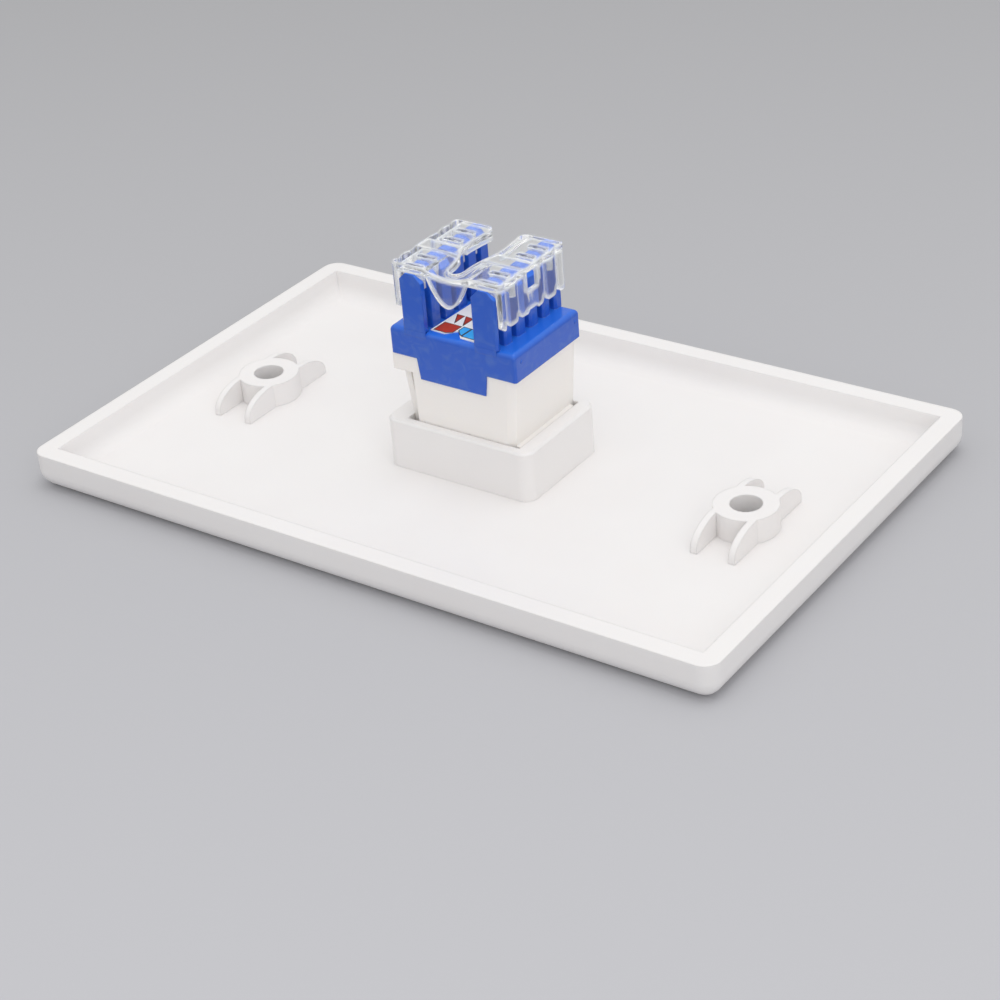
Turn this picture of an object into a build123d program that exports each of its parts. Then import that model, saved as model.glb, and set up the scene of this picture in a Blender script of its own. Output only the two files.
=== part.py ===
# Single-gang wall plate with one snap-in data jack, lying face down with the jack standing up
from build123d import *
import os

os.makedirs("parts", exist_ok=True)

# wall plate: long side along X, short side along Y, front face down at z = 0
plate_length = 114.5
plate_width = 72.0
plate_height = 5.6
plate_corner = 2.4
front_round = 2.8
floor_thickness = 1.8
rim_width = 2.9
rim_draft = 14
floor_cove = 2.6
screw_spacing = 83.3
screw_hole = 4.5
screw_head = 7.6
screw_head_angle = 82
boss_diameter = 9.2
boss_height = 5.5
rib_thickness = 1.0
rib_spacing = 5.8
rib_reach = 9.2
rib_nose = 0.7
rib_shoulder = 0.4

# keystone port: a collar on the back of the plate with a lip at each end
collar_length = 24.7
collar_width = 17.7
collar_height = 9.5
collar_corner = 1.8
collar_bevel = 0.35
port_depth_x = 22.0
port_lip_height = 1.3
latch_lip_x = -9.05
hook_lip_x = 10.15
mouth_length = 16.4
fit = 0.1

# jack housing
body_width = 14.8
body_left = -7.65
body_right = 10.15
body_top = 19.75
foot_left = -7.35
foot_right = 9.3
nose_length = 16.2
flange_left = -10.7
flange_height = 2.6
corner_land = 1.35
corner_step = 0.45
corner_round = 0.35
hook_reach = 0.8
hook_tip = 0.8
hook_slope = 1.5
hook_fall = 0.3
hook_notch = 0.7
latch_thickness = 1.0
latch_width = 12.0
latch_top = 16.7
latch_lean = 0.75
latch_root = 0.6
latch_foot = 1.2
tooth_reach = 1.0
tooth_land = 0.7
tooth_slope = 1.9

# socket for the eight-way plug
socket_width = 11.9
socket_height = 6.8
socket_shift = 1.0
tab_width = 6.2
tab_height = 1.5
key_width = 3.6
key_height = 1.2
socket_depth = 13.4
chamber_margin = 0.5

# eight spring wires in their insert
wire_count = 8
wire_pitch = 1.02
wire_width = 0.44
wire_thickness = 0.34
wire_tip_x = 1.95
wire_tip_z = 9.6
wire_bend_z = 3.0
wire_bend_radius = 0.5
carrier_thickness = 1.9
carrier_foot = 2.0
groove_gap = 0.06

# circuit board
board_width = 13.4
board_thickness = 1.6
board_z = 15.6
board_wall_left = 0.85
board_wall_right = 1.55
pin_gap = 0.1
wire_hole_gap = 0.08
pin_length = 0.8
pin_relief = 1.0
relief_ledge = 0.35

# blue block: flange, two rows of posts, wire slots
block_left = -10.7
block_right = 10.55
block_front = -7.6
block_back = 8.5
block_flange = 4.25
block_edge = 0.75
block_corner = 0.4
rows_x = -0.2
post_top = 32.7
post_chamfer = 1.2
post_corner = 0.3
channel_width = 8.4
row_width = 3.85
slot_width = 1.2
slot_inner = 3.15
slot_outer = 6.15
centre_gap = 1.0
lead_in = 0.5
slit_room = 0.3
tongue_left = -5.9
tongue_right = 5.15
tongue_drop = 3.2
tongue_taper = 0.4

# slotted contact blades
blade_x = 6.0
blade_thickness = 0.4
blade_width = 2.3
blade_top = 30.6
fork_gap = 0.4
fork_depth = 4.6
fork_lead = 0.9
blade_corner = 0.4
tail_width = 0.7
tail_shift = 0.75

# colour-code sticker
label_x = -0.3
label_y = -1.75
label_turn = -3
label_width = 7.6
label_length = 9.5
label_thickness = 0.15
label_notch = 1.5
label_gap = 1.4

# clear cap
cap_front = -7.45
cap_back = 8.2
cap_plate = 1.2
cap_wall = 0.8
cap_gap = 0.35
cap_seat = 0.1
cap_corner = 0.5
bay_bulge = 0.35
lobe_bottom = 27.2
lobe_chamfer = 0.4
notch_width = 0.4
notch_top = 28.2
mid_span = 2.6
mid_rise = 0.5
bridge_width = 7.4
bridge_sag = 0.9
bridge_sag_back = 0.2
bridge_sag_under = 0.35
cut_neck = 1.25
cut_end = -5.6
cut_width = 2.65
cut_wide_y = 1.0
cut_back = 2.3
cut_corner = 1.2
cut_wall = 0.6
cut_wall_depth = cap_plate + bridge_sag_under + fit
apron_tip = 28.65
apron_width = 6.9
apron_thickness = 0.8
window_y = 0.25
window_width = 2.7
window_bottom = 30.4
window_top = 33.3
nib_width = 0.7
nib_reach = 0.3
nib_top = 30.2
nib_height = 1.8
stuffer_length = 2.9
stuffer_width = 0.8
stuffer_bar = 1.1
stuffer_depth = 2.6
stuffer_slit = 1.2

# places worked out from the sizes above
body_y = body_width / 2
body_height = body_top - floor_thickness
chamber_width = socket_width - 2 * chamber_margin
floor_z = floor_thickness
block_y = (block_front + block_back) / 2
row_x = channel_width / 2 + row_width / 2
row_outer = channel_width / 2 + row_width
block_top = body_top + block_flange
slot_ys = (-slot_outer, -slot_inner, slot_inner, slot_outer)
row_xs = (rows_x - row_x, rows_x + row_x)
cap_half = row_outer + cap_gap + cap_wall
cap_top = post_top + cap_seat + cap_plate
cap_under = post_top + cap_seat
nose_x = nose_length / 2
socket_top = socket_shift + socket_height / 2
socket_low = socket_shift - socket_height / 2
carrier_x = socket_top + carrier_thickness / 2 + fit
wire_x = carrier_x - carrier_thickness / 2 + wire_thickness / 2 + groove_gap
board_top = board_z + board_thickness
plug_bottom = board_top + pin_length + 2 * fit
board_left = body_left + board_wall_left
board_right = body_right - board_wall_right
board_x = (board_left + board_right) / 2
board_length = board_right - board_left
relief_z = board_z - pin_relief
tongue_depth = body_y - board_width / 2 + fit
tail_ys = [
    slot_ys[0] + tail_shift,
    slot_ys[1],
    slot_ys[2],
    slot_ys[3] - tail_shift,
]
wire_ys = [(i - (wire_count - 1) / 2) * wire_pitch for i in range(wire_count)]

# wall plate: a shallow tray with a rolled front edge
with BuildPart() as wall_plate:
    with BuildSketch():
        RectangleRounded(plate_length, plate_width, plate_corner)
    extrude(amount=plate_height)
    fillet(wall_plate.faces().sort_by(Axis.Z)[0].edges(), front_round)

    # the tray: drafted walls that run into the floor with a cove
    inner_length = plate_length - 2 * rim_width
    inner_width = plate_width - 2 * rim_width
    with BuildSketch(Plane.XY.offset(plate_height)):
        Rectangle(inner_length, inner_width)
    extrude(amount=floor_z - plate_height, taper=rim_draft, mode=Mode.SUBTRACT)
    cove_edges = wall_plate.edges().filter_by(lambda e: abs(e.center().Z - floor_z) < 0.001)
    fillet(cove_edges, floor_cove)

    # collar of the keystone port
    with BuildSketch(Plane.XY.offset(floor_z)):
        RectangleRounded(collar_length, collar_width, collar_corner)
    extrude(amount=collar_height - floor_z)
    collar_top = wall_plate.faces().sort_by(Axis.Z)[-1]
    chamfer(collar_top.outer_wire().edges(), collar_bevel)

    # two screw bosses, each held by four gussets that fall in a quarter ellipse
    for side in (-1, 1):
        boss_x = side * screw_spacing / 2
        with BuildSketch(Plane.XY.offset(floor_z)):
            with Locations((boss_x, 0)):
                Circle(boss_diameter / 2)
        extrude(amount=boss_height - floor_z)
        for rib_side in (-1, 1):
            rib_x = boss_x + rib_side * rib_spacing / 2
            with BuildSketch(Plane.YZ.offset(rib_x)):
                with BuildLine():
                    Line((-rib_reach, floor_z), (rib_reach, floor_z))
                    Line((rib_reach, floor_z), (rib_reach, floor_z + rib_nose))
                    shoulder_y = boss_diameter * rib_shoulder
                    nose_z = floor_z + rib_nose
                    EllipticalCenterArc((shoulder_y, nose_z), rib_reach - shoulder_y, boss_height - nose_z)
                    Line((shoulder_y, boss_height), (-shoulder_y, boss_height))
                    EllipticalCenterArc(
                        (-shoulder_y, nose_z), rib_reach - shoulder_y, boss_height - nose_z, start_angle=90
                    )
                    Line((-rib_reach, nose_z), (-rib_reach, floor_z))
                make_face()
            extrude(amount=rib_thickness / 2, both=True)

    # screw holes, countersunk from the front face
    with Locations(Plane.XY.rotated((180, 0, 0))):
        with Locations((-screw_spacing / 2, 0), (screw_spacing / 2, 0)):
            CounterSinkHole(screw_hole / 2, screw_head / 2, boss_height, screw_head_angle)

    # the port: mouth in the floor, a wide chamber, and a lip at each end
    with BuildSketch():
        Rectangle(mouth_length, body_width + 2 * fit)
    extrude(amount=floor_z, mode=Mode.SUBTRACT)
    with BuildSketch(Plane.XY.offset(floor_z)):
        Rectangle(port_depth_x, body_width + 2 * fit)
    extrude(amount=collar_height - port_lip_height - floor_z, mode=Mode.SUBTRACT)
    lip_span = hook_lip_x - latch_lip_x
    with BuildSketch(Plane.XY.offset(floor_z)):
        with Locations(((hook_lip_x + latch_lip_x) / 2, 0)):
            Rectangle(lip_span, body_width + 2 * fit)
    extrude(amount=collar_height - floor_z, mode=Mode.SUBTRACT)
wall_plate.part.label = "wall_plate"
export_step(wall_plate.part, "parts/wall_plate.step")

# profile of the blue block's front tongue, shared with the recess that takes it
with BuildSketch(Plane.XZ) as tongue_profile:
    with BuildLine():
        Polyline(
            (tongue_left - tongue_taper, body_top),
            (tongue_right + tongue_taper, body_top),
            (tongue_right, body_top - tongue_drop),
            (tongue_left, body_top - tongue_drop),
            close=True,
        )
    make_face()

# jack housing: nose in the mouth, wider body behind it, latch arm and hook moulded on
with BuildPart() as jack_housing:
    with BuildSketch():
        Rectangle(nose_length, body_width)
    extrude(amount=floor_z)

    # body: upright inside the port, widening above it to the flange
    with BuildSketch(Plane.XZ):
        with BuildLine():
            Polyline(
                (foot_left, floor_z),
                (foot_right, floor_z),
                (foot_right, collar_height),
                (body_right, body_top),
                (flange_left, body_top),
                (flange_left, body_top - flange_height),
                (body_left, body_top - flange_height),
                (foot_left, collar_height),
                close=True,
            )
        make_face()
    extrude(amount=body_y, both=True)

    # flat strip down the front right-hand corner
    front_face = jack_housing.faces().filter_by(Axis.Y).sort_by(Axis.Y)[0]
    right_edges = front_face.edges().filter_by(lambda e: e.center().X > foot_right - fit and e.length > body_height / 3)
    chamfer(right_edges, corner_land, corner_step, reference=front_face)
    strip_edges = jack_housing.edges().filter_by(
        lambda e: abs(e.center().Y + body_y - corner_step) < 0.01 and e.length > body_height / 3
    )
    left_edges = jack_housing.edges().filter_by(
        lambda e: e.center().Y < fit - body_y and e.center().X < foot_left + fit and e.length > body_height / 3
    )
    fillet(strip_edges + left_edges, corner_round)

    # ledge on the right-hand side, with the fixed hook that grips under the lip of the port
    hook_top = collar_height - port_lip_height - fit
    ledge_x = hook_lip_x - fit
    with BuildSketch(Plane.XZ.offset(body_y - corner_step)):
        with BuildLine():
            Polyline(
                (foot_right, collar_height - fit),
                (ledge_x, collar_height - hook_fall),
                (ledge_x, hook_top),
                (ledge_x + hook_reach, hook_top),
                (ledge_x + hook_reach, hook_top - hook_tip),
                (foot_right, hook_top - hook_tip - hook_slope),
                close=True,
            )
        make_face()
    extrude(amount=-(body_width - corner_step - hook_notch))

    # latch arm: rooted at the nose, leaning out to a free end below the flange, with one tooth
    arm_root = -nose_x
    arm_foot = floor_z + latch_foot
    arm_lip = latch_lip_x + fit
    with BuildSketch(Plane.XZ):
        with BuildLine():
            Polyline(
                (arm_root, latch_root),
                (foot_left, latch_root),
                (foot_left, arm_foot),
                (arm_lip + latch_thickness, collar_height),
                (flange_left + latch_lean + latch_thickness, latch_top),
                (flange_left + latch_lean, latch_top),
                (arm_lip, collar_height),
                (arm_lip, hook_top),
                (arm_lip - tooth_reach, hook_top),
                (arm_lip - tooth_reach, hook_top - tooth_land),
                (arm_lip, hook_top - tooth_land - tooth_slope),
                (arm_root, arm_foot),
                close=True,
            )
        make_face()
    extrude(amount=latch_width / 2, both=True)

    # socket: plug space, tab step and key slot
    with BuildSketch():
        with Locations((socket_shift, 0)):
            Rectangle(socket_height, socket_width)
        with Locations((socket_low - tab_height / 2, 0)):
            Rectangle(tab_height, tab_width)
        with Locations((socket_low - tab_height - key_height / 2, 0)):
            Rectangle(key_height, key_width)
    extrude(amount=socket_depth, mode=Mode.SUBTRACT)

    # chamber for the insert beside the socket, and the board's seat above
    with BuildSketch(Plane.XY.offset(carrier_foot)):
        with Locations((carrier_x, 0)):
            Rectangle(carrier_thickness + 2 * fit, chamber_width)
    extrude(amount=relief_z - carrier_foot, mode=Mode.SUBTRACT)
    with BuildSketch(Plane.XY.offset(relief_z)):
        with Locations((board_x, 0)):
            Rectangle(board_length - 2 * relief_ledge, board_width - 2 * relief_ledge)
    extrude(amount=pin_relief, mode=Mode.SUBTRACT)
    with BuildSketch(Plane.XY.offset(board_z)):
        with Locations((board_x, 0)):
            Rectangle(board_length, board_width)
    extrude(amount=body_top - board_z, mode=Mode.SUBTRACT)

    # window for the block's tongue, through the wall of the board's pocket
    extrude(
        tongue_profile.sketch.moved(Location((0, -body_y, 0))),
        amount=tongue_depth,
        dir=(0, 1, 0),
        mode=Mode.SUBTRACT,
    )
jack_housing.part.label = "jack_housing"
export_step(jack_housing.part, "parts/jack_housing.step")

# insert that holds the spring wires in eight grooves
with BuildPart() as contact_carrier:
    with BuildSketch(Plane.XY.offset(carrier_foot)):
        with Locations((carrier_x, 0)):
            Rectangle(carrier_thickness, chamber_width - 2 * fit)
    extrude(amount=relief_z - carrier_foot)
    groove_depth = wire_thickness + 2 * groove_gap
    with BuildSketch(Plane.XY.offset(carrier_foot)):
        with Locations([(carrier_x - carrier_thickness / 2 + groove_depth / 2, y) for y in wire_ys]):
            Rectangle(groove_depth, wire_width + 2 * groove_gap)
    extrude(amount=relief_z - carrier_foot, mode=Mode.SUBTRACT)
contact_carrier.part.label = "contact_carrier"
export_step(contact_carrier.part, "parts/contact_carrier.step")

# circuit board with a slotted hole for each blade tail and a hole for each wire
with BuildPart() as circuit_board:
    with BuildSketch(Plane.XY.offset(board_z)):
        with Locations((board_x, 0)):
            Rectangle(board_length - 2 * fit, board_width - 2 * fit)
        with Locations([(wire_x, y) for y in wire_ys]):
            Rectangle(wire_thickness + 2 * wire_hole_gap, wire_width + 2 * wire_hole_gap, mode=Mode.SUBTRACT)
        with Locations([(side * blade_x, y) for side in (-1, 1) for y in tail_ys]):
            Rectangle(blade_thickness + 2 * pin_gap, tail_width + 2 * pin_gap, mode=Mode.SUBTRACT)
    extrude(amount=board_thickness)
circuit_board.part.label = "circuit_board"
export_step(circuit_board.part, "parts/circuit_board.step")

# spring wires: up the groove to the board, folded at the nose and leaning back into the socket
for number, y in enumerate(wire_ys, start=1):
    with BuildPart() as spring_contact:
        with BuildLine(Plane.XZ.offset(-y)) as wire_path:
            FilletPolyline(
                (wire_x, board_top + pin_length),
                (wire_x, wire_bend_z),
                (wire_tip_x, wire_tip_z),
                radius=wire_bend_radius,
            )
        with BuildSketch(Plane(origin=(wire_x, y, board_top + pin_length), z_dir=(0, 0, -1))):
            Rectangle(wire_thickness, wire_width)
        sweep(path=wire_path.line)
    spring_contact.part.label = f"spring_contact_{number}"
    export_step(spring_contact.part, f"parts/spring_contact_{number}.step")

# blue block: flange over the housing, two rows of posts with a slot for each conductor
with BuildPart() as idc_block:
    flange_length = block_right - block_left
    flange_width = block_back - block_front
    with BuildSketch(Plane.XY.offset(body_top)):
        with Locations(((block_left + block_right) / 2, block_y)):
            Rectangle(flange_length, flange_width)
    extrude(amount=block_flange)
    fillet(idc_block.edges().filter_by(Axis.Z), block_corner)
    lip_edges = idc_block.edges().group_by(Axis.Z)[-1].filter_by(Axis.Y)
    fillet(lip_edges, block_edge)

    # plug that keys the block into the open top of the housing
    with BuildSketch(Plane.XY.offset(body_top)):
        with Locations((board_x, 0)):
            Rectangle(board_length - 2 * fit, board_width - 2 * fit)
    extrude(amount=plug_bottom - body_top)

    # rows of posts, with the wire slots and the narrower middle gap between them and bevelled outer corners
    with BuildSketch(Plane.XY.offset(block_top)) as posts:
        with Locations([(x, block_y) for x in row_xs]):
            Rectangle(row_width, flange_width)
        with Locations([(rows_x, y) for y in slot_ys]):
            Rectangle(2 * row_outer, slot_width, mode=Mode.SUBTRACT)
        with Locations((rows_x, 0)):
            Rectangle(2 * row_outer, centre_gap, mode=Mode.SUBTRACT)
        outer_corners = posts.vertices().filter_by(lambda v: abs(v.X - rows_x) > row_outer - fit)
        chamfer(outer_corners, post_corner)
    extrude(amount=post_top - block_top)

    # sloping shoulders along both sides of each row
    with BuildSketch(Plane.XZ.offset(-block_back)):
        for x in row_xs:
            for edge in (-row_width / 2, row_width / 2):
                inward = -post_chamfer if edge > 0 else post_chamfer
                with BuildLine():
                    Polyline(
                        (x + edge, post_top),
                        (x + edge + inward, post_top),
                        (x + edge, post_top - post_chamfer),
                        close=True,
                    )
                make_face()
    extrude(amount=flange_width, mode=Mode.SUBTRACT)

    # lead-in at the top of each slot
    with BuildSketch(Plane.YZ.offset(rows_x)):
        for y in slot_ys:
            with BuildLine():
                Polyline(
                    (y - slot_width / 2, post_top - lead_in * 2),
                    (y + slot_width / 2, post_top - lead_in * 2),
                    (y + slot_width / 2 + lead_in, post_top),
                    (y - slot_width / 2 - lead_in, post_top),
                    close=True,
                )
            make_face()
    extrude(amount=row_outer, both=True, mode=Mode.SUBTRACT)

    # cross slits that hold the blades, and the way down for their tails
    with BuildSketch(Plane.XY.offset(block_top)):
        with Locations([(side * blade_x, y) for side in (-1, 1) for y in slot_ys]):
            Rectangle(blade_thickness + fit, blade_width + fit)
    extrude(amount=blade_top + slit_room - block_top, mode=Mode.SUBTRACT)
    with BuildSketch(Plane.XY.offset(block_top)):
        with Locations([(side * blade_x, y) for side in (-1, 1) for y in tail_ys]):
            Rectangle(blade_thickness + fit, tail_width + fit)
    extrude(amount=plug_bottom - block_top, mode=Mode.SUBTRACT)

    # tongue over the front of the housing
    extrude(
        tongue_profile.sketch.moved(Location((0, block_front, 0))),
        amount=tongue_depth + (-body_y - block_front),
        dir=(0, 1, 0),
    )
idc_block.part.label = "idc_block"
export_step(idc_block.part, "parts/idc_block.step")

# slotted blades, one in each wire slot
blade_number = 0
for side in (-1, 1):
    for y, tail_y in zip(slot_ys, tail_ys):
        blade_number += 1
        tail_end = board_z - pin_length
        half = blade_width / 2
        with BuildPart() as idc_contact:
            with BuildSketch(Plane.YZ.offset(side * blade_x)):
                with BuildLine():
                    Polyline(
                        (tail_y - tail_width / 2, tail_end),
                        (tail_y + tail_width / 2, tail_end),
                        (tail_y + tail_width / 2, block_top),
                        (y + half, block_top),
                        (y + half, blade_top - blade_corner),
                        (y + half - blade_corner, blade_top),
                        (y + fork_gap / 2, blade_top - fork_lead),
                        (y + fork_gap / 2, blade_top - fork_depth),
                        (y - fork_gap / 2, blade_top - fork_depth),
                        (y - fork_gap / 2, blade_top - fork_lead),
                        (y - half + blade_corner, blade_top),
                        (y - half, blade_top - blade_corner),
                        (y - half, block_top),
                        (tail_y - tail_width / 2, block_top),
                        close=True,
                    )
                make_face()
            extrude(amount=blade_thickness / 2, both=True)
        idc_contact.part.label = f"idc_contact_{blade_number}"
        export_step(idc_contact.part, f"parts/idc_contact_{blade_number}.step")

# sticker on the channel floor: two columns of hexagon fields, so notched between them, and a little askew
with BuildPart() as colour_code_label:
    edge_x = label_width / 2
    edge_y = label_length / 2
    with BuildSketch(Plane(origin=(label_x, label_y, block_top)).rotated((0, 0, label_turn))):
        with BuildLine():
            Polyline(
                (-edge_x, -edge_y),
                (-label_gap, -edge_y),
                (0, label_notch - edge_y),
                (label_gap, -edge_y),
                (edge_x, -edge_y),
                (edge_x, edge_y),
                (label_gap, edge_y),
                (0, edge_y - label_notch),
                (-label_gap, edge_y),
                (-edge_x, edge_y),
                close=True,
            )
        make_face()
    extrude(amount=label_thickness)
colour_code_label.part.label = "colour_code_label"
export_step(colour_code_label.part, "parts/colour_code_label.step")

# clear cap: two wings over the rows, a sunken bridge between them, skirts with a bulging bay for each post
with BuildPart() as dust_cap:
    cap_plane = Plane(origin=(rows_x, 0, 0))
    bay_ys = [cap_front, *slot_ys, cap_back]
    bays = list(zip(bay_ys[:-1], bay_ys[1:]))
    valley_x = cap_half - bay_bulge
    with BuildSketch(cap_plane.offset(lobe_bottom)):
        with BuildLine():
            Line((-valley_x, cap_front), (valley_x, cap_front))
            Line((-valley_x, cap_back), (valley_x, cap_back))
            for side in (-1, 1):
                for start, end in bays:
                    ThreePointArc(
                        (side * valley_x, start), (side * cap_half, (start + end) / 2), (side * valley_x, end)
                    )
        make_face()
    extrude(amount=cap_top - lobe_bottom)
    end_edges = dust_cap.edges().filter_by(Axis.Z).group_by(Axis.Y)
    fillet(end_edges[0] + end_edges[-1], cap_corner)

    # inside: flat over the posts, bowed down under the bridge
    inner_x = cap_half - cap_wall
    bridge_x = bridge_width / 2
    cap_section = Plane(origin=(rows_x, cap_front, 0), x_dir=(1, 0, 0), z_dir=(0, -1, 0))
    with BuildSketch(cap_section):
        with BuildLine():
            Polyline((-bridge_x, cap_under), (-inner_x, cap_under), (-inner_x, lobe_bottom))
            Line((-inner_x, lobe_bottom), (inner_x, lobe_bottom))
            Polyline((inner_x, lobe_bottom), (inner_x, cap_under), (bridge_x, cap_under))
            ThreePointArc((bridge_x, cap_under), (0, cap_under - bridge_sag_under), (-bridge_x, cap_under))
        make_face()
    extrude(amount=cap_front - cap_back, mode=Mode.SUBTRACT)

    # wall round the cut-out for the cable, then the trough of the bridge, then the cut-out itself
    for grow, mode in ((cut_wall, Mode.ADD), (0, Mode.SUBTRACT)):
        neck = cut_neck + grow
        neck_y = cut_end + cut_neck
        with BuildSketch(cap_plane.offset(cap_top - cut_wall_depth)):
            with BuildLine():
                ThreePointArc((-neck, neck_y), (0, cut_end - grow), (neck, neck_y))
                for side in (-1, 1):
                    Spline(
                        (side * neck, neck_y),
                        (side * (cut_width + grow), cut_wide_y),
                        (side * (cut_back + grow), cap_back),
                        tangents=((0, 1), (0, 1)),
                    )
                Line((-cut_back - grow, cap_back), (cut_back + grow, cap_back))
            make_face()
        extrude(amount=cut_wall_depth, mode=mode)
        if mode == Mode.ADD:
            with BuildSketch(cap_section):
                with BuildLine():
                    Line((-bridge_x, cap_top), (bridge_x, cap_top))
                    ThreePointArc((-bridge_x, cap_top), (0, cap_top - bridge_sag), (bridge_x, cap_top))
                make_face()
            with BuildSketch(cap_section.offset(cap_front - cut_wide_y)):
                with BuildLine():
                    Line((-cut_width, cap_top), (cut_width, cap_top))
                    ThreePointArc((-cut_width, cap_top), (0, cap_top - bridge_sag_back), (cut_width, cap_top))
                make_face()
            loft(mode=Mode.SUBTRACT)
    wing_corners = dust_cap.edges().filter_by(Axis.Z).group_by(Axis.Y)[-1].filter_by(
        lambda e: abs(abs(e.center().X - rows_x) - cut_back) < fit
    )
    fillet(wing_corners, cut_corner)

    # lower edge of the skirts: a notch below each valley, and a raised edge in the middle bay
    with BuildSketch(Plane.YZ.offset(rows_x)):
        for y in slot_ys:
            with BuildLine():
                Polyline(
                    (y - notch_width / 2 - lobe_chamfer, lobe_bottom),
                    (y - notch_width / 2, lobe_bottom + lobe_chamfer),
                    (y - notch_width / 2, notch_top),
                    (y + notch_width / 2, notch_top),
                    (y + notch_width / 2, lobe_bottom + lobe_chamfer),
                    (y + notch_width / 2 + lobe_chamfer, lobe_bottom),
                    close=True,
                )
            make_face()
        with BuildLine():
            Polyline(
                (-mid_span / 2, lobe_bottom),
                (-mid_span / 2 + lobe_chamfer, lobe_bottom + mid_rise),
                (mid_span / 2 - lobe_chamfer, lobe_bottom + mid_rise),
                (mid_span / 2, lobe_bottom),
                close=True,
            )
        make_face()
        for y, inward in ((cap_front, lobe_chamfer), (cap_back, -lobe_chamfer)):
            with BuildLine():
                Polyline((y, lobe_bottom), (y + inward, lobe_bottom), (y, lobe_bottom + lobe_chamfer), close=True)
            make_face()
        with Locations((window_y, (window_bottom + window_top) / 2)):
            Rectangle(window_width, window_top - window_bottom)
    extrude(amount=cap_half, both=True, mode=Mode.SUBTRACT)

    # nib below each window, on the inner side
    with BuildSketch(Plane(origin=(rows_x, 0, 0), x_dir=(1, 0, 0), z_dir=(0, -1, 0))):
        for side in (-1, 1):
            with BuildLine():
                Polyline(
                    (side * inner_x, nib_top),
                    (side * (inner_x - nib_reach), nib_top - nib_reach),
                    (side * inner_x, nib_top - nib_height),
                    close=True,
                )
            make_face()
    extrude(amount=nib_width / 2, both=True)

    # stuffers that push the conductors down: a bar for each slot, its legs on either side of the blade
    stuffer_places = [(side * row_x, y) for side in (-1, 1) for y in slot_ys]
    with BuildSketch(cap_plane.offset(cap_under)):
        with Locations(stuffer_places):
            Rectangle(stuffer_length, stuffer_width)
    extrude(amount=-stuffer_bar)
    with BuildSketch(cap_plane.offset(cap_under)):
        with Locations(stuffer_places):
            Rectangle(stuffer_length, stuffer_width)
        with Locations([(side * blade_x - rows_x, y) for side in (-1, 1) for y in slot_ys]):
            Rectangle(stuffer_slit, stuffer_width, mode=Mode.SUBTRACT)
    extrude(amount=-stuffer_depth)

    # curved apron below the front edge of the bridge
    apron_top = cap_top - bridge_sag - fit
    with BuildSketch(cap_section):
        with BuildLine():
            Bezier((-apron_width / 2, apron_top), (0, 2 * apron_tip - apron_top), (apron_width / 2, apron_top))
            Line((apron_width / 2, apron_top), (-apron_width / 2, apron_top))
        make_face()
    extrude(amount=-apron_thickness)
dust_cap.part.label = "dust_cap"
export_step(dust_cap.part, "parts/dust_cap.step")
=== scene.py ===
import math

import bmesh
import bpy
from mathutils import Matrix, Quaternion, Vector


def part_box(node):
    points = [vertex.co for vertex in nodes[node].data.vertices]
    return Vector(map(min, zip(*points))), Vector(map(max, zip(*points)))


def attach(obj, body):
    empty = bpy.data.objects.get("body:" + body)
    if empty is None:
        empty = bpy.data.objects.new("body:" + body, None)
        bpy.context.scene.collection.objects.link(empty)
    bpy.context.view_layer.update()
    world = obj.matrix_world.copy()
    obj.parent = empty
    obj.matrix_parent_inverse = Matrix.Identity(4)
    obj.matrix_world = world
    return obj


# A single-gang wall plate lying face down on a table, with one snap-in data jack standing up in it.
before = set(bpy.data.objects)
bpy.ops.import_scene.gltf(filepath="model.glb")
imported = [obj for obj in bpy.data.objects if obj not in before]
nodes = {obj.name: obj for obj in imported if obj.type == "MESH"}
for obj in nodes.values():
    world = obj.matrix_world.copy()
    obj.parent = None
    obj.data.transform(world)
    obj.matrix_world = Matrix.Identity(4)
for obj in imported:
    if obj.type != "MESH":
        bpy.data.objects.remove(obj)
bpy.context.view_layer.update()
MM = 0.001

# Camera: a long lens looking down on the plate from its near right corner, turned a little clockwise.
# Its place, aim and lens were worked out from the plate's rim and the two screw holes, 83.3 mm apart.
# Lengths are in millimetres here, as everywhere in this file, and MM turns them to metres.
camera_place = Vector((177.56, -234.82, 170.02)) * MM
camera_aim = Vector((6.0, -7.45, 0.0)) * MM
camera_roll = math.radians(-4.85)
film_width = 36.0
lens_in_film_widths = 2.3468
nearest_seen = 10.0

camera = bpy.data.objects.new("camera", bpy.data.cameras.new("camera"))
camera.data.sensor_width = film_width
camera.data.lens = film_width * lens_in_film_widths
camera.data.clip_start = nearest_seen * MM
aimed = (camera_aim - camera_place).to_track_quat("-Z", "Y")
camera.location = camera_place
camera.rotation_mode = "QUATERNION"
camera.rotation_quaternion = aimed @ Quaternion((0, 0, 1), camera_roll)
bpy.context.scene.collection.objects.link(camera)
bpy.context.scene.camera = camera


def linear(hex_colour, alpha=1.0):
    """An sRGB hex colour as the linear values that a shader socket takes."""
    parts = [int(hex_colour[i:i + 2], 16) / 255 for i in (1, 3, 5)]
    return [p / 12.92 if p <= 0.04045 else ((p + 0.055) / 1.055) ** 2.4 for p in parts] + [alpha]


def add(tree, kind, feeds=None, **settings):
    """Adds a node: settings are its own properties, feeds its sockets, each a value or another's output."""
    made = tree.nodes.new("ShaderNode" + kind)
    for name, value in settings.items():
        setattr(made, name, value)
    for name, value in (feeds or {}).items():
        if isinstance(value, bpy.types.NodeSocket):
            tree.links.new(value, made.inputs[name])
        else:
            made.inputs[name].default_value = value
    return made


def new_material(name):
    """An empty node material and its tree, with the coordinates of the object that it is on."""
    material = bpy.data.materials.new(name)
    material.use_nodes = True
    material.node_tree.nodes.clear()
    place = add(material.node_tree, "TexCoord").outputs["Object"]
    return material, material.node_tree, place


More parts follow.
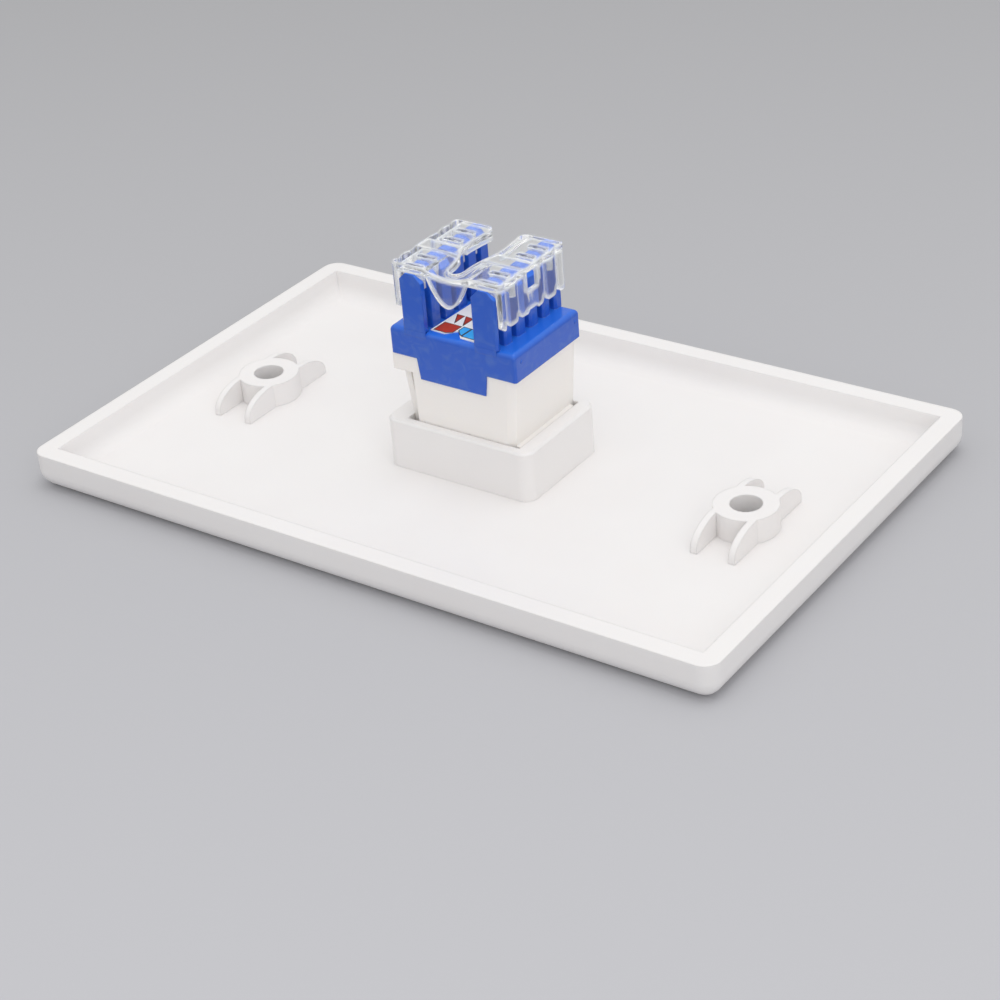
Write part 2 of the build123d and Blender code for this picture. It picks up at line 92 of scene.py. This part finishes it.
def noise(tree, place, size, detail, distortion=0.0):
    """A noise value whose patches are about size millimetres wide."""
    feeds = {"Vector": place, "Scale": 1 / (size * MM), "Detail": detail, "Distortion": distortion}
    return add(tree, "TexNoise", feeds).outputs["Fac"]


def blend(tree, factor, first, second):
    """Mixes two colours by a factor from 0 to 1. Sockets 6, 7 and 2 are the Mix node's colour ones."""
    return add(tree, "Mix", {"Factor": factor, 6: first, 7: second}, data_type="RGBA").outputs[2]


def relief(tree, height, strength, depth, over=None):
    """A bump of up to depth millimetres, laid over another normal where one is given."""
    feeds = {"Height": height, "Strength": strength, "Distance": depth * MM}
    if over is not None:
        feeds["Normal"] = over
    return add(tree, "Bump", feeds).outputs["Normal"]


def soft_edge(tree, radius, samples=6):
    """The normal of a surface whose edges are rounded to radius millimetres."""
    return add(tree, "Bevel", {"Radius": radius * MM}, samples=samples).outputs["Normal"]


def cover(tree, **sockets):
    """The surface of a material. An underscore in a socket's name stands for a space."""
    named = {name.replace("_", " "): value for name, value in sockets.items()}
    surface = add(tree, "BsdfPrincipled", named)
    add(tree, "OutputMaterial", {"Surface": surface.outputs["BSDF"]})


def new_piece(name, bm, *materials):
    """A piece of the scene made from finished mesh code."""
    mesh = bpy.data.meshes.new(name)
    bm.to_mesh(mesh)
    bm.free()
    for material in materials:
        mesh.materials.append(material)
    piece = bpy.data.objects.new(name, mesh)
    bpy.context.scene.collection.objects.link(piece)
    return piece


# Table: a wide sheet of matt grey paper under and behind the plate.
# Uncoated paper scatters nearly all its light, so it keeps the soft shadow and shows no reflection.
# Its colour is painted a little lighter near the camera than behind: painted shade where less of the tent's
# light reaches it.
paper_near = "#C2C2C6"
paper_far = "#9D9D9E"
paper_fibre = 0.6
fade_direction = (-0.45, 0.89, 0.0)
fade_start = -120.0
fade_end = 420.0
table_half = 3000.0

paper, tree, place = new_material("grey_backdrop_paper")
# Painted shade: the paper's colour fades darker away from the camera, for the light that thins out behind.
along = add(tree, "VectorMath", {0: place, 1: fade_direction}, operation="DOT_PRODUCT").outputs["Value"]
fade = add(tree, "MapRange", {"Value": along, "From Min": fade_start * MM, "From Max": fade_end * MM})
tint = blend(tree, fade.outputs["Result"], linear(paper_near), linear(paper_far))
grain = relief(tree, noise(tree, place, paper_fibre, detail=3.0), strength=0.1, depth=0.05)
cover(tree, Base_Color=tint, Roughness=0.9, Specular_IOR_Level=0.15, Normal=grain)

bm = bmesh.new()
bmesh.ops.create_grid(bm, x_segments=1, y_segments=1, size=table_half * MM)
table = new_piece("table", bm, paper)

# Studio light: a white tent that is brightest overhead, a softbox above and a broad fill from the right.
# Its dimmer lower part leaves a dark line where the plate's edge meets the table, and shades its sides.
# Clear plastic passes the tent at full white, which gives its edges a bright line; a gloss shows it dimmer.
tent_low = 0.5
tent_high = 1.0
tent_mirrored = 0.74
tent_passed = 1.05
lamps = {
    # name: side length, place, power in watts
    "softbox": (600.0, Vector((100.0, 60.0, 1150.0)), 2.35),
    "fill": (700.0, Vector((620.0, -520.0, 330.0)), 1.36),
}

world = bpy.data.worlds.new("light_tent")
world.use_nodes = True
bpy.context.scene.world = world
tree = world.node_tree
tree.nodes.clear()
ray = add(tree, "LightPath")
direction = add(tree, "SeparateXYZ", {0: add(tree, "TexCoord").outputs["Generated"]})
height = add(tree, "MapRange", {"Value": direction.outputs["Z"], "To Min": tent_low, "To Max": tent_high})
mirrored = add(tree, "MapRange", {
    "Value": ray.outputs["Is Glossy Ray"], "To Min": height.outputs["Result"], "To Max": tent_mirrored,
})
level = add(tree, "MapRange", {
    "Value": ray.outputs["Is Transmission Ray"], "To Min": mirrored.outputs["Result"], "To Max": tent_passed,
})
tent = add(tree, "Background", {"Color": linear("#FFFFFF"), "Strength": level.outputs["Result"]})
add(tree, "OutputWorld", {"Surface": tent.outputs["Background"]})

for lamp_name, (lamp_size, lamp_place, lamp_power) in lamps.items():
    lamp = bpy.data.objects.new(lamp_name, bpy.data.lights.new(lamp_name, "AREA"))
    lamp.data.shape = "SQUARE"
    lamp.data.size = lamp_size * MM
    lamp.data.energy = lamp_power
    lamp.location = lamp_place * MM
    lamp.rotation_mode = "QUATERNION"
    lamp.rotation_quaternion = (-lamp_place).to_track_quat("-Z", "Y")
    bpy.context.scene.collection.objects.link(lamp)

# Wall plate: one moulding of white ABS with a polished face and a plainer back, the side that shows here.
# Its tool is fine-ground, so it is semi-gloss with a faint unevenness, and its edges are slightly soft.
# A few specks of dust lie on it.
plate_white = "#F2F0EF"
plate_shade = "#EEEBEA"
plate_flow = 14.0
plate_skin = 0.5
plate_edge = 0.3
dust_grey = "#B9B2AC"
dust_spacing = 9.0
dust_radius = 0.16
dust_core = 0.6 * dust_radius
dust_cover = 0.8

plate_abs, tree, place = new_material("moulded_white_abs")
flow = noise(tree, place, plate_flow, detail=2.0)
tone = blend(tree, flow, linear(plate_white), linear(plate_shade))
specks = add(tree, "TexVoronoi", {"Vector": place, "Scale": 1 / (dust_spacing * MM), "Randomness": 1.0})
speck = add(tree, "MapRange", {
    "Value": specks.outputs["Distance"], "From Min": dust_core / dust_spacing,
    "From Max": dust_radius / dust_spacing, "To Min": dust_cover, "To Max": 0.0,
})
dusty = blend(tree, speck.outputs["Result"], tone, linear(dust_grey))
skin = noise(tree, place, plate_skin, detail=4.0)
uneven = relief(tree, skin, strength=0.25, depth=0.01, over=soft_edge(tree, plate_edge))
gloss = add(tree, "MapRange", {"Value": flow, "To Min": 0.34, "To Max": 0.42}).outputs["Result"]
cover(
    tree, Base_Color=dusty, Roughness=gloss, IOR=1.53, Subsurface_Weight=0.06,
    Subsurface_Radius=(1.0, 0.9, 0.8), Subsurface_Scale=1.2 * MM, Normal=uneven,
)
nodes["wall_plate"].material_slots[0].material = plate_abs

# Jack housing: the body that snaps into the port, moulded in warm off-white ABS.
# Its tool was spark-eroded, which leaves an even satin grain, duller than the plate.
housing_white = "#F8F4F0"
housing_grit = 0.25
housing_edge = 0.18

housing_abs, tree, place = new_material("satin_offwhite_abs")
grit = noise(tree, place, housing_grit, detail=3.0)
eroded = relief(tree, grit, strength=0.35, depth=0.02, over=soft_edge(tree, housing_edge))
cover(
    tree, Base_Color=linear(housing_white), Roughness=0.48, IOR=1.53, Subsurface_Weight=0.12,
    Subsurface_Radius=(1.0, 0.85, 0.7), Subsurface_Scale=0.8 * MM, Normal=eroded,
)
nodes["jack_housing"].material_slots[0].material = housing_abs

# Insert: the grooved bar inside the jack that spaces the eight wires, moulded in black nylon.
# Glass fibre in it comes to the surface as a fine matt mottle.
nylon_black = "#1C1D20"
nylon_fibre = "#34363A"
nylon_mottle = 0.2

insert_nylon, tree, place = new_material("glass_filled_black_nylon")
mottle = noise(tree, place, nylon_mottle, detail=5.0)
tone = blend(tree, mottle, linear(nylon_black), linear(nylon_fibre))
matt = relief(tree, mottle, strength=0.3, depth=0.02)
cover(tree, Base_Color=tone, Roughness=0.55, IOR=1.53, Normal=matt)
nodes["contact_carrier"].material_slots[0].material = insert_nylon

# Spring wires: eight drawn phosphor-bronze wires, plated with nickel and then a thin film of gold.
# Drawing leaves fine lines along the wire under the plating, so the gold has a slightly broken shine.
wire_count = 8
wire_gold = "#E3B357"
drawing_width = 0.04
drawing_length = 3.0

plated_gold, tree, place = new_material("gold_plated_drawn_wire")
across, lengthwise = 1 / (drawing_width * MM), 1 / (drawing_length * MM)
lines = add(tree, "Mapping", {"Vector": place, "Scale": (across, across, lengthwise)})
draw = add(tree, "TexNoise", {"Vector": lines.outputs["Vector"], "Scale": 1.0, "Detail": 1.0})
drawn = relief(tree, draw.outputs["Fac"], strength=0.2, depth=0.004)
cover(tree, Base_Color=linear(wire_gold), Metallic=1.0, Roughness=0.22, Normal=drawn)
for number in range(1, wire_count + 1):
    nodes[f"spring_contact_{number}"].material_slots[0].material = plated_gold

# Circuit board: glass-epoxy laminate with a green solder mask, hidden between housing and blue block.
# The mask is poured on, so it is glossy with the weave of the glass cloth just showing through.
mask_green = "#1E6A3C"
weave_green = "#185832"
cloth_pitch = 0.5

board_laminate, tree, place = new_material("solder_masked_laminate")
weave = add(tree, "TexChecker", {
    "Vector": place, "Scale": 1 / (cloth_pitch * MM),
    "Color1": linear(mask_green), "Color2": linear(weave_green),
})
cover(tree, Base_Color=weave.outputs["Color"], Roughness=0.3, IOR=1.5)
nodes["circuit_board"].material_slots[0].material = board_laminate

# Slotted contacts: eight blades stamped from bronze strip and dipped in tin, upright in the wire slots.
# Tin goes dull grey-white, with soft streaks from the strip's rolling.
tin_white = "#C9C6C0"
tin_streak = "#ABA8A3"
streak_size = (1.0, 0.08, 2.0)

dipped_tin, tree, place = new_material("tinned_stamped_bronze")
rolled = add(tree, "Mapping", {"Vector": place, "Scale": [1 / (size * MM) for size in streak_size]})
streak = add(tree, "TexNoise", {"Vector": rolled.outputs["Vector"], "Scale": 1.0, "Detail": 2.0})
tone = blend(tree, streak.outputs["Fac"], linear(tin_white), linear(tin_streak))
dull = add(tree, "MapRange", {"Value": streak.outputs["Fac"], "To Min": 0.28, "To Max": 0.42})
cover(tree, Base_Color=tone, Metallic=1.0, Roughness=dull.outputs["Result"])
for number in range(1, wire_count + 1):
    nodes[f"idc_contact_{number}"].material_slots[0].material = dipped_tin

# Blue block: the termination block that keys into the housing, moulded in through-coloured blue PBT.
# A polished tool gives it a clear gloss, and small sink marks make that gloss wander a little.
# Its upward faces are painted a lighter blue: painted light, standing in for the overhead light that falls on
# them.
block_blue = "#2059C6"
block_flow = "#3A68C4"
block_top_painted_light = "#2C70E0"
block_sink = 3.5
block_swirl = 2.6
block_edge = 0.25

block_pbt, tree, place = new_material("gloss_blue_pbt")
swirl = noise(tree, place, block_swirl, detail=2.0, distortion=1.5)
marks = add(tree, "MapRange", {"Value": swirl, "From Min": 0.48, "From Max": 0.78}).outputs["Result"]
tone = blend(tree, marks, linear(block_blue), linear(block_flow))
# Painted light: faces that point up get the lighter blue, as if lit from above.
facing = add(tree, "SeparateXYZ", {0: add(tree, "NewGeometry").outputs["Normal"]}).outputs["Z"]
top_light_mask = add(tree, "MapRange", {"Value": facing, "From Min": 0.3, "From Max": 0.95}).outputs["Result"]
shade = blend(tree, top_light_mask, tone, linear(block_top_painted_light))
shine = add(tree, "MapRange", {
    "Value": swirl, "From Min": 0.3, "From Max": 0.7, "To Min": 0.14, "To Max": 0.24,
})
sink = noise(tree, place, block_sink, detail=1.0)
wavy = relief(tree, sink, strength=0.3, depth=0.06, over=soft_edge(tree, block_edge))
cover(tree, Base_Color=shade, Roughness=shine.outputs["Result"], IOR=1.53, Normal=wavy)
nodes["idc_block"].material_slots[0].material = block_pbt

# Feet of the end posts: each row's end face runs down flush into the flange's face, with no line there.
# The same blue moulding as the block; this web fills the flange's rounded edge under the four end posts.
# The sticker lies on the flange, so its underside is the flange's top.
block_low, block_high = (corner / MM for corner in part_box("idc_block"))
film_low, film_high = (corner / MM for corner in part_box("colour_code_label"))
post_spans = ((-7.95, -4.4), (4.0, 7.55))
post_ends = {"front": (block_low.y, 1), "back": (block_high.y, -1)}
flange_top = film_low.z
foot_drop = 0.9
foot_rise = 0.15
foot_skin = 0.01

for end_name, (end_y, inward) in post_ends.items():
    for post_number, (post_from, post_to) in enumerate(post_spans, 1):
        outer_y = end_y - inward * foot_skin
        inner_y = end_y + inward * foot_drop
        foot_low, foot_high = flange_top - foot_drop, flange_top + foot_rise
        profile = [(outer_y, foot_low), (outer_y, foot_high), (inner_y, foot_high), (inner_y, foot_low)]
        bm = bmesh.new()
        side = bm.faces.new([bm.verts.new(Vector((post_from, y, z)) * MM) for y, z in profile])
        stretched = bmesh.ops.extrude_face_region(bm, geom=[side])
        for point in (item for item in stretched["geom"] if isinstance(item, bmesh.types.BMVert)):
            point.co.x += (post_to - post_from) * MM
        bmesh.ops.recalc_face_normals(bm, faces=list(bm.faces))
        foot = new_piece(f"post_foot_{end_name}_{post_number}", bm, block_pbt)
        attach(foot, "plate_and_jack")

# Ejector pips: two tiny round pips that the mould's pins leave on the flange's right face.
# The same blue moulding, each a low dome on a short root inside the flange, turned from its half profile.
pip_radius = 0.3
pip_height = 0.1
pip_root = 0.35
pip_steps = 16
pip_rise = [math.radians(angle) for angle in (0, 30, 60, 90)]
pip_places = ((-6.0, 22.4), (7.4, 22.4))
weld = 0.001

for pip_number, (pip_y, pip_z) in enumerate(pip_places, 1):
    bm = bmesh.new()
    half = [(pip_height * math.cos(angle), pip_radius * math.sin(angle)) for angle in pip_rise]
    half.append((-pip_root, pip_radius))
    rib = [bm.verts.new(Vector((x, r, 0.0)) * MM) for x, r in half]
    ribs = [bm.edges.new(pair) for pair in zip(rib, rib[1:])]
    bmesh.ops.spin(
        bm, geom=rib + ribs, cent=(0, 0, 0), axis=(1, 0, 0), angle=math.tau, steps=pip_steps, use_merge=True,
    )
    bmesh.ops.remove_doubles(bm, verts=bm.verts, dist=weld * MM)
    bmesh.ops.holes_fill(bm, edges=[edge for edge in bm.edges if edge.is_boundary])
    bmesh.ops.recalc_face_normals(bm, faces=list(bm.faces))
    for facet in bm.faces:
        facet.smooth = len(facet.verts) < pip_steps
    pip = new_piece(f"flange_pip_{pip_number}", bm, block_pbt)
    pip.location = Vector((block_high.x, pip_y, pip_z)) * MM
    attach(pip, "plate_and_jack")

# Sticker: white polypropylene film, die-cut round its printed fields and pressed onto the channel's floor.
# The film is satin and very even, with a faint tooth from its coating.
film_white = "#FAF8F3"
film_tooth = 0.15

label_film, tree, place = new_material("white_coated_film")
tooth = relief(tree, noise(tree, place, film_tooth, detail=2.0), strength=0.2, depth=0.005)
cover(tree, Base_Color=linear(film_white), Roughness=0.45, IOR=1.49, Normal=tooth)
nodes["colour_code_label"].material_slots[0].material = label_film

# Printed fields on the sticker: one plain and one striped field for each pair, in two columns.
# Screen-printed ink lies on the film as a thin even layer with a darker keyline round it.
# Corners are in millimetres from the middle of the sticker, which is glued on 3 degrees askew.
ink_colours = {
    # name: the colour where the ink is full, and where the screen laid it thinner
    "red": ("#B02C18", "#C24A2E"),
    "cyan": ("#22A0F0", "#4DB6F4"),
    "keyline": ("#2E0F0D", "#4A1A14"),
}
ink_patch = 0.7
ink_thickness = 0.02
line_width = 0.13
sticker_middle = Vector(((film_low.x + film_high.x) / 2, (film_low.y + film_high.y) / 2, film_high.z))
sticker_turn = math.radians(-3)
fields = {
    "field_red": ("red", [(-3.5, -4.6), (-1.3, -4.6), (-0.45, -4.0), (-0.45, -1.95), (-3.5, -1.95)]),
    "field_red_stripe_1": ("red", [(-3.5, 0.8), (-2.03, -1.8), (-2.1, 0.8)]),
    "field_red_stripe_2": ("red", [(-1.95, 0.8), (-0.55, -1.75), (-0.45, -1.7), (-0.45, 0.35), (-0.95, 0.8)]),
    "field_cyan_left": ("cyan", [(-0.2, -3.1), (0.45, -3.85), (1.25, -4.4), (1.25, -1.85), (-0.2, -1.85)]),
    "field_cyan_right": ("cyan", [(1.26, -4.4), (3.5, -4.4), (3.5, -1.85), (1.26, -1.85)]),
    "field_cyan_stripe_1": ("cyan", [(0.3, 0.8), (1.75, -1.7), (1.7, 0.8)]),
    "field_cyan_stripe_2": ("cyan", [(1.85, 0.8), (3.4, -1.7), (3.5, -1.6), (3.5, 0.35), (3.0, 0.8)]),
}

inks = {}
for ink_name, (full, thin) in ink_colours.items():
    inks[ink_name], tree, place = new_material(f"{ink_name}_screen_ink")
    tone = blend(tree, noise(tree, place, ink_patch, detail=3.0), linear(full), linear(thin))
    cover(tree, Base_Color=tone, Roughness=0.5, Specular_IOR_Level=0.25)

for field_name, (ink_name, corners) in fields.items():
    bm = bmesh.new()
    face = bm.faces.new([bm.verts.new((x * MM, y * MM, 0.0)) for x, y in corners])
    bm.normal_update()
    if face.normal.z < 0:
        face.normal_flip()
    rim = bmesh.ops.inset_individual(bm, faces=[face], thickness=line_width * MM, use_even_offset=True)
    for line in rim["faces"]:
        line.material_index = 1
    raised = bmesh.ops.extrude_face_region(bm, geom=list(bm.faces))
    for point in (item for item in raised["geom"] if isinstance(item, bmesh.types.BMVert)):
        point.co.z += ink_thickness * MM
    bmesh.ops.recalc_face_normals(bm, faces=list(bm.faces))
    field = new_piece(field_name, bm, inks[ink_name], inks["keyline"])
    field.location = sticker_middle * MM
    field.rotation_euler = (0.0, 0.0, sticker_turn)
    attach(field, "plate_and_jack")

# Clear cap: snaps over both rows of posts to keep the conductors in, moulded in clear polycarbonate.
# It is see-through with faint flow lines, and every edge is painted whitish: a painted highlight for the
# light that gathers in the wall.
# Lamp light passes it nearly whole, as it does a thin clear moulding, so nothing under it is in the dark.
pc_clear = "#FBFCFB"
pc_passed = "#FBFCFC"
pc_flow = 2.5
edge_round = 0.32
edge_width = 0.9
edge_turn = 0.06
clear_share = 0.97
edge_highlight_share = 0.5

clear_pc, tree, place = new_material("clear_polycarbonate")
rounded = soft_edge(tree, edge_round, samples=8)
# Painted highlight: near every edge the surface is made less clear and whiter, standing in for light gathered
# in the wall.
near_edge = soft_edge(tree, edge_width, samples=8)
flat = add(tree, "NewGeometry").outputs["Normal"]
same = add(tree, "VectorMath", {0: near_edge, 1: flat}, operation="DOT_PRODUCT").outputs["Value"]
share = add(tree, "MapRange", {
    "Value": same, "From Min": 1.0, "From Max": 1.0 - edge_turn, "To Min": clear_share, "To Max": edge_highlight_share,
})
flow = noise(tree, place, pc_flow, detail=2.0)
glass = add(tree, "BsdfPrincipled", {
    "Base Color": linear(pc_clear), "Roughness": 0.06, "IOR": 1.3,
    "Transmission Weight": share.outputs["Result"],
    "Normal": relief(tree, flow, strength=0.25, depth=0.05, over=rounded),
})
passed = add(tree, "BsdfTransparent", {"Color": linear(pc_passed)})
shadow = add(tree, "LightPath").outputs["Is Shadow Ray"]
surface = add(tree, "MixShader", {0: shadow, 1: glass.outputs["BSDF"], 2: passed.outputs["BSDF"]})
add(tree, "OutputMaterial", {"Surface": surface.outputs["Shader"]})
nodes["dust_cap"].material_slots[0].material = clear_pc

bpy.context.scene.view_settings.view_transform = "Standard"
